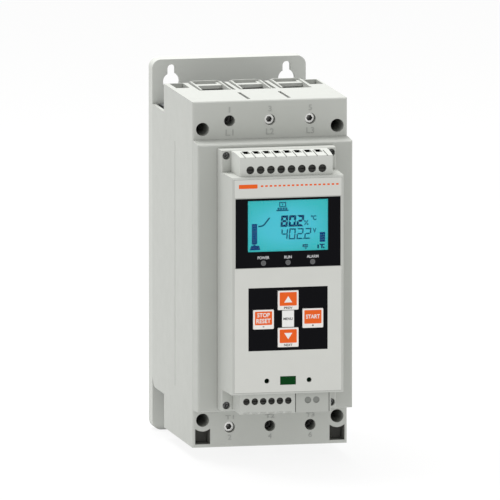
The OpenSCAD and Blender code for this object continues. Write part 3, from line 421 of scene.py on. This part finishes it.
class Front:
    """Front of a CAD node that takes prints. Places count from its middle, in millimetres."""

    def __init__(self, node, slot, body=STARTER):
        low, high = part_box(node)
        self.x = (low.x + high.x) / 2 / MM
        self.z = (low.z + high.z) / 2 / MM
        self.width = (high.x - low.x) / MM
        self.height = (high.z - low.z) / MM
        self.depth = -low.y / MM
        self.slot = slot
        self.body = body

    def point(self, x, z, lift):
        return Vector(((self.x + x) * MM, -(self.depth + lift) * MM, (self.z + z) * MM))

    def finish(self, mesh, name, material):
        obj = bpy.data.objects.new(name, mesh)
        bpy.context.scene.collection.objects.link(obj)
        mesh.materials.clear()
        mesh.materials.append(material)
        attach(obj, self.body)

    def layer(self, name, outlines, material, base=0.0, height=INK):
        """Closed thin layer, one island for each outline."""
        made = bmesh.new()
        for outline in outlines:
            rear = [made.verts.new(self.point(x, z, base)) for x, z in outline]
            front = [made.verts.new(self.point(x, z, base + height)) for x, z in outline]
            made.faces.new(front)
            made.faces.new(list(reversed(rear)))
            for i in range(len(outline)):
                j = (i + 1) % len(outline)
                made.faces.new((rear[i], rear[j], front[j], front[i]))
        self.close(made, name, material)

    def frames(self, name, rings, material):
        """Closed thin frames, each between an outer and an inner outline of equal count."""
        made = bmesh.new()
        for outer, inner in rings:
            corners = ((outer, 0.0), (outer, INK), (inner, INK), (inner, 0.0))
            loops = [[made.verts.new(self.point(x, z, lift)) for x, z in line] for line, lift in corners]
            for one, two in zip(loops, loops[1:] + loops[:1]):
                for i in range(len(outer)):
                    j = (i + 1) % len(outer)
                    made.faces.new((one[i], one[j], two[j], two[i]))
        self.close(made, name, material)

    def close(self, made, name, material):
        bmesh.ops.recalc_face_normals(made, faces=made.faces)
        mesh = bpy.data.meshes.new(name)
        made.to_mesh(mesh)
        made.free()
        self.finish(mesh, name, material)

    def words(self, name, text, box, material, base=0.0, height=INK, bold=0.0):
        """Lettering that fills a box (left, right, low, top)."""
        left, right, low, top = box
        curve = bpy.data.curves.new(name, "FONT")
        curve.body = text
        curve.size = 1.0
        curve.offset = bold
        curve.extrude = 0.5
        curve.resolution_u = 4
        letters = bpy.data.objects.new(name + "_letters", curve)
        bpy.context.scene.collection.objects.link(letters)
        bpy.context.view_layer.update()
        shaped = letters.evaluated_get(bpy.context.evaluated_depsgraph_get())
        mesh = bpy.data.meshes.new_from_object(shaped)
        bpy.data.objects.remove(letters)
        bpy.data.curves.remove(curve)
        xs = [vertex.co.x for vertex in mesh.vertices]
        ys = [vertex.co.y for vertex in mesh.vertices]
        wide = (right - left) / (max(xs) - min(xs))
        tall = (top - low) / (max(ys) - min(ys))
        for vertex in mesh.vertices:
            x = left + (vertex.co.x - min(xs)) * wide
            z = low + (vertex.co.y - min(ys)) * tall
            vertex.co = self.point(x, z, base + height * (vertex.co.z + 0.5))
        joined = bmesh.new()
        joined.from_mesh(mesh)
        bmesh.ops.remove_doubles(joined, verts=joined.verts, dist=1e-7)
        bmesh.ops.recalc_face_normals(joined, faces=joined.faces)
        joined.to_mesh(mesh)
        joined.free()
        mesh.name = name
        self.finish(mesh, name, material)


def rect(left, right, low, top):
    return [(left, low), (right, low), (right, top), (left, top)]


def round_rect(left, right, low, top, radius, steps=5):
    points = []
    corners = (
        (right - radius, low + radius, -90),
        (right - radius, top - radius, 0),
        (left + radius, top - radius, 90),
        (left + radius, low + radius, 180),
    )
    for x, z, start in corners:
        for i in range(steps + 1):
            turn = math.radians(start + 90 * i / steps)
            points.append((x + radius * math.cos(turn), z + radius * math.sin(turn)))
    return points


def circle(x, z, radius, steps=36):
    turns = [2 * math.pi * i / steps for i in range(steps)]
    return [(x + radius * math.cos(turn), z + radius * math.sin(turn)) for turn in turns]


def stroke(points, width):
    """Outline of a line of even width through the points."""
    left, right = [], []
    for i, (x, z) in enumerate(points):
        x0, z0 = points[max(i - 1, 0)]
        x1, z1 = points[min(i + 1, len(points) - 1)]
        length = math.hypot(x1 - x0, z1 - z0)
        nx, nz = -(z1 - z0) / length * width / 2, (x1 - x0) / length * width / 2
        left.append((x + nx, z + nz))
        right.append((x - nx, z - nz))
    return right + list(reversed(left))


SEGMENTS = {
    "0": "abcdef",
    "2": "abged",
    "4": "fgbc",
    "8": "abcdefg",
}


def digit(char, left, low, width, height, line, slant=0.08):
    """Seven-segment digit as a list of bars with mitred ends."""
    gap = line * 0.05
    mid, top, right = low + height / 2, low + height, left + width

    def across(outer, inner):
        return [
            (left + gap, outer),
            (right - gap, outer),
            (right - line - gap, inner),
            (left + line + gap, inner),
        ]

    def upright(outer, inner, start, end):
        way = 1 if end > start else -1
        return [
            (outer, start + way * gap),
            (outer, end - way * gap),
            (inner, end - way * (gap + line / 2)),
            (inner, start + way * (gap + line)),
        ]

    middle = [
        (left + line * 0.6, mid),
        (left + line, mid - line / 2),
        (right - line, mid - line / 2),
        (right - line * 0.6, mid),
        (right - line, mid + line / 2),
        (left + line, mid + line / 2),
    ]
    bars = {
        "a": across(top, top - line),
        "b": upright(right, right - line, top, mid),
        "c": upright(right, right - line, low, mid),
        "d": across(low, low + line),
        "e": upright(left, left + line, low, mid),
        "f": upright(left, left + line, top, mid),
        "g": middle,
    }
    return [[(x + (z - low) * slant, z) for x, z in bars[key]] for key in SEGMENTS[char]]


def draw_readings(display):
    large = [rect(5.6, 6.6, -1.0, 0.1)]
    for i, char in enumerate("802"):
        large += digit(char, -5.4 + i * 5.9, -1.0, 5.2, 8.3, 1.6)
    display.layer("reading_large", large, CRYSTAL_INK)
    small = [rect(11.3, 12.1, -10.3, -9.5)]
    for i, char in enumerate("4022"):
        small += digit(char, -5.1 + i * 5.75, -10.3, 4.8, 8.0, 0.95)
    display.layer("reading_small", small, CRYSTAL_PALE)
    percent = [stroke([(12.4, -0.1), (15.0, 3.3)], 0.7)]
    percent += [circle(12.8, 2.7, 0.65, 16), circle(14.7, 0.5, 0.65, 16)]
    display.layer("percent_sign", percent, CRYSTAL_PALE)
    display.words("degree_sign", "°C", (17.2, 21.2, 3.3, 7.0), CRYSTAL_PALE, bold=0.04)
    display.words("volt_sign", "V", (18.6, 21.2, -6.0, -2.6), CRYSTAL_PALE, bold=0.04)


def draw_signs(display):
    curve = [(-21.8, -0.1), (-20.2, -0.1), (-18.6, 0.2), (-17.2, 1.2), (-15.4, 3.5), (-13.4, 6.0)]
    display.layer("ramp_sign", [stroke(curve, 1.1)], CRYSTAL_PALE)
    bars = [rect(-26.6, -22.6, low, low + 1.55) for low in (-13.1 + i * 1.66 for i in range(9))]
    bars += [rect(23.7, 27.7, low, low + 1.7) for low in (-12.8 + i * 1.82 for i in range(4))]
    display.layer("level_bars", bars, CRYSTAL_BAR)
    load = [(-28.0, -17.4), (-20.3, -17.4), (-21.2, -14.2), (-27.0, -14.2)]
    display.layer("load_sign", [load, rect(-25.3, -23.9, -14.1, -13.2)], CRYSTAL_BAR)
    screen_rim = round_rect(-6.3, -1.2, 13.5, 17.1, 0.3), round_rect(-5.6, -1.9, 14.2, 16.4, 0.2)
    display.frames("screen_sign", [screen_rim], CRYSTAL_PALE)
    stand = [circle(-3.75, 15.3, 0.5, 16), rect(-8.4, 0.6, 10.6, 11.5)]
    stand += [rect(left, left + 1.5, 11.6, 13.1) for left in (-7.5 + i * 1.9 for i in range(4))]
    display.layer("stand_sign", stand, CRYSTAL_PALE)
    marks = [rect(11.0, 14.9, -15.1, -14.2), rect(11.0, 11.9, -16.2, -15.1)]
    marks += [rect(12.2, 14.9, -16.4, -15.6), circle(13.4, -17.1, 0.5, 16)]
    marks += [rect(22.0, 23.1, -17.4, -14.7), rect(23.6, 27.3, -15.1, -14.2)]
    marks += [rect(24.8, 25.9, -17.4, -15.1), rect(26.2, 27.3, -17.4, -16.3)]
    display.layer("small_signs", marks, CRYSTAL_INK)


def draw_lights(bezel):
    """Names and rings of the three status lights, set out from the lights themselves."""
    low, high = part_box("light_pipes")
    middle = (low.z + high.z) / 2 / MM - bezel.z
    radius = (high.z - low.z) / 2 / MM
    pitch = (high.x - low.x) / 2 / MM - radius
    names = (("power_name", "POWER", -1, 4.3), ("run_name", "RUN", 0, 2.7), ("alarm_name", "ALARM", 1, 4.3))
    for name, text, place, half in names:
        box = (place * pitch - half, place * pitch + half, middle + 2.9, middle + 5.0)
        bezel.words(name, text, box, PALE_INK, bold=0.01)
    rings = []
    for place in (-1, 0, 1):
        x = place * pitch
        rings.append((circle(x, middle, radius + 0.4), circle(x, middle, 0.7 * radius)))
    bezel.frames("light_rings", rings, GREY_INK)


def draw_mouths(block):
    """Painted shade: black sheets on the rear walls inside the upper wire openings."""
    wall_shades = []
    for space in frame["record"]["physics"]["openings"]:
        if space["name"].startswith("upper_wire"):
            low, high = space["box_m"]
            left, right = low[0] / MM - block.x, high[0] / MM - block.x
            wall_shades.append(rect(left, right, low[2] / MM - block.z, block.height / 2 - 0.1))
            rear = -high[1] / MM - block.depth
    block.layer("mouth_wall_shade", wall_shades, MOUTH_SHADE_INK, rear)


def draw_pockets(face):
    """Painted shade: dark sheets on the backs and sides of the pockets under the lower corner wells, clear
    of the wells' rings.
    """
    inset, half, sill, high, deep = 7.5, 5.5, 4.0, 11.0, 14.0
    ring_rise, ring_radius, steps = 21.6, 8.45, 12
    thin, lift, rear_gap, front_gap = 0.06, 0.02, 0.1, 0.5
    back_shades, side_shades = [], []
    for side in (-1, 1):
        x, low = side * (face.width / 2 - inset), -face.height / 2
        start = math.acos(half / ring_radius)
        turns = [-start - (math.pi - 2 * start) * i / steps for i in range(steps + 1)]
        middle = low + ring_rise
        ring = [(x + ring_radius * math.cos(t), middle + ring_radius * math.sin(t)) for t in turns]
        back_shades.append([(x - half, low + sill), (x + half, low + sill)] + ring)
        side_shades.append(rect(x - half, x + half, low + sill - thin, low + sill))
        side_shades.append(rect(x - half - thin, x - half, low + sill, low + sill + high))
        side_shades.append(rect(x + half, x + half + thin, low + sill, low + sill + high))
    face.layer("pocket_back_shade", back_shades, SHADE_INK, lift - deep)
    face.layer("pocket_side_shade", side_shades, SHADE_INK, rear_gap - deep, deep - rear_gap - front_gap)


def draw_blanks(cover):
    """Painted shade: dark discs on the floors of the two closed screw places of the free slot, in line with
    the lower screws.
    """
    ways, first_from_left, recess, lift = 6, 9.4, 0.7, 0.02
    low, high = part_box("lower_block_screws")
    radius = (high.z - low.z) / 2 / MM
    pitch = ((high.x - low.x) / MM - 2 * radius) / (ways - 1)
    first = first_from_left - cover.width / 2
    z = (low.z + high.z) / 2 / MM - cover.z
    floor_shades = [circle(first + i * pitch, z, radius) for i in (0, 1)]
    cover.layer("blank_floor_shade", floor_shades, BLANK_SHADE_GREY, lift - recess)


def draw_keys():
    names = ("stop", "start", "up", "down")
    keys = {name: Front("key_" + name, "key_orange", "key_" + name) for name in names}
    for name, key in keys.items():
        key.layer("key_%s_field" % name, [round_rect(-6.35, 6.35, -4.0, 5.9, 0.5)], ORANGE_INK)
    stop, start, up, down = (keys[name] for name in names)
    stop.words("stop_word", "STOP", (-4.7, 4.7, 1.7, 4.8), WHITE_INK, INK, bold=0.02)
    stop.words("reset_word", "RESET", (-5.3, 5.3, -2.7, 0.6), WHITE_INK, INK, bold=0.02)
    stop.layer("stop_mark", [[(-0.9, -5.3), (0, -5.7), (0.9, -5.3), (0, -4.9)]], DARK_INK)
    start.words("start_word", "START", (-5.2, 5.2, -0.4, 2.7), WHITE_INK, INK, bold=0.02)
    start.layer("start_mark", [[(-0.7, -5.3), (0, -6.1), (0.7, -5.3), (0, -4.5)]], DARK_INK)
    up.layer("up_arrow", [[(-3.0, -1.6), (3.0, -1.6), (0.0, 3.0)]], WHITE_INK, INK)
    up.words("up_word", "PREV", (-3.1, 3.1, -6.4, -4.7), DARK_INK, bold=0.02)
    down.layer("down_arrow", [[(-3.0, 3.3), (0.0, -1.3), (3.0, 3.3)]], WHITE_INK, INK)
    down.words("down_word", "NEXT", (-3.1, 3.1, -6.4, -4.7), DARK_INK, bold=0.02)


def draw_menu(panel):
    """White strip between the arrow keys."""
    half = panel.height / 8 + 0.35
    panel.layer("menu_strip", [rect(-4.4, 4.4, -half, half)], WHITE_INK)
    panel.words("menu_word", "MENU", (-3.4, 3.4, -1.0, 0.9), DARK_INK, INK, bold=0.02)


def draw_strip(film):
    """Plain bar and a row of dashes along the top of the film."""
    dashes = [round_rect(left, left + 1.9, 1.2, 2.4, 0.3) for left in (-20.2 + i * 3.28 for i in range(18))]
    film.layer("film_dashes", dashes, ORANGE_INK)
    film.layer("film_bar", [round_rect(-36.4, -22.6, 0.2, 3.2, 0.4)], ORANGE_INK)


def draw_terminal_marks(face):
    """Raised numbers and letters beside the power screws, tinted darker than the housing as painted shade
    of their raised edges.
    """
    pitch = (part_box("line_lug_3")[0].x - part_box("line_lug_2")[0].x) / MM
    top_rows = ((120.6, 2.0, 1.2, "135"), (103.9, 2.2, 2.9, ("L1", "L2", "L3")))
    low_rows = ((-105.2, 1.4, 3.2, ("T1", "T2", "T3")), (-119.9, 1.8, 1.3, "246"))
    for z, half_high, half_wide, texts in top_rows + low_rows:
        for place, text in zip((-1, 0, 1), texts):
            x = place * pitch
            half = 0.4 * half_wide if text == "1" else half_wide
            box = (x - half, x + half, z - half_high, z + half_high)
            face.words("mark_" + text, text, box, MARK_SHADE_GREY, height=MARK)


def light_path_white(tree, plain, white, share, glow=0.0):
    """White towards the camera, in reflections and through glass; plain elsewhere, with a soft glow."""
    path = tree.nodes.new("ShaderNodeLightPath")
    seen = path.outputs["Is Camera Ray"]
    for other in ("Is Glossy Ray", "Is Transmission Ray"):
        both = tree.nodes.new("ShaderNodeMath")
        both.operation = "MAXIMUM"
        tree.links.new(seen, both.inputs[0])
        tree.links.new(path.outputs[other], both.inputs[1])
        seen = both.outputs[0]
    part = tree.nodes.new("ShaderNodeMath")
    part.operation = "MULTIPLY"
    part.inputs[1].default_value = share
    tree.links.new(seen, part.inputs[0])
    least = tree.nodes.new("ShaderNodeMath")
    least.operation = "MAXIMUM"
    least.inputs[1].default_value = glow
    tree.links.new(part.outputs[0], least.inputs[0])
    white.inputs["Color"].default_value = (1, 1, 1, 1)
    white.inputs["Strength"].default_value = 1.0
    mix = tree.nodes.new("ShaderNodeMixShader")
    tree.links.new(least.outputs[0], mix.inputs[0])
    tree.links.new(plain.outputs[0], mix.inputs[1])
    tree.links.new(white.outputs[0], mix.inputs[2])
    return mix.outputs[0]


def make_world():
    world = bpy.data.worlds.new("studio")
    bpy.context.scene.world = world
    world.use_nodes = True
    tree = world.node_tree
    soft = tree.nodes["Background"]
    soft.inputs["Color"].default_value = (1.0, 1.0, 0.99, 1.0)
    soft.inputs["Strength"].default_value = WORLD_LIGHT
    surface = light_path_white(tree, soft, tree.nodes.new("ShaderNodeBackground"), 1.0)
    tree.links.new(surface, tree.nodes["World Output"].inputs["Surface"])


def make_floor():
    mesh = bpy.data.meshes.new("floor")
    corners = [(x, y, 0) for x, y in rect(-FLOOR_HALF, FLOOR_HALF, -FLOOR_HALF, FLOOR_HALF)]
    mesh.from_pydata(corners, [], [(0, 1, 2, 3)])
    floor = bpy.data.objects.new("floor", mesh)
    floor.location.z = cad_box[0][2] - FLOOR_GAP * MM
    bpy.context.scene.collection.objects.link(floor)
    pale = bpy.data.materials.new("pale_floor")
    pale.use_nodes = True
    tree = pale.node_tree
    tree.nodes.remove(tree.nodes["Principled BSDF"])
    matte = tree.nodes.new("ShaderNodeBsdfDiffuse")
    matte.inputs["Color"].default_value = (FLOOR_TONE, FLOOR_TONE, FLOOR_TONE, 1.0)
    white = tree.nodes.new("ShaderNodeEmission")
    surface = light_path_white(tree, matte, white, FLOOR_WHITE, FLOOR_GLOW)
    tree.links.new(surface, tree.nodes["Material Output"].inputs["Surface"])
    mesh.materials.append(pale)


def make_lamp(name, place, target, size, power):
    data = bpy.data.lights.new(name, "AREA")
    data.shape = "RECTANGLE"
    data.size, data.size_y = size
    data.energy = power
    obj = bpy.data.objects.new(name, data)
    obj.location = place
    aim = Vector(target) - Vector(place)
    obj.rotation_euler = aim.to_track_quat("-Z", "Y").to_euler()
    bpy.context.scene.collection.objects.link(obj)


def make_camera():
    data = bpy.data.cameras.new("photo_camera")
    data.sensor_width = SENSOR
    data.lens = LENS
    data.clip_end = 200.0
    camera = bpy.data.objects.new("photo_camera", data)
    turn, lift = math.radians(VIEW_AZIMUTH), math.radians(VIEW_ELEVATION)
    back = Vector(
        (math.sin(turn) * math.cos(lift), -math.cos(turn) * math.cos(lift), math.sin(lift))
    )
    distance = VIEW_WIDTH * MM * LENS / SENSOR
    camera.location = Vector(VIEW_TARGET) * MM + back * distance
    camera.rotation_euler = (-back).to_track_quat("-Z", "Y").to_euler()
    bpy.context.scene.collection.objects.link(camera)
    bpy.context.scene.camera = camera


bpy.context.scene.view_settings.view_transform = "Standard"
make_camera()
make_world()
make_floor()
make_lamp("top_box", LAMP_PLACE, LAMP_TARGET, LAMP_SIZE, LAMP_POWER)

dress_nodes()
display_front = Front("lcd", "lcd_blue")
draw_readings(display_front)
draw_signs(display_front)
draw_lights(Front("display_bezel", "field_black"))
draw_keys()
draw_menu(Front("keypad_panel", "field_black"))
housing_front = Front("housing", "shell_grey")
draw_terminal_marks(housing_front)
draw_pockets(housing_front)
draw_strip(Front("upper_film", "film_grey"))
draw_mouths(Front("upper_block", "shell_grey"))
draw_blanks(Front("slot_cover", "shell_grey"))

bpy.context.view_layer.update()
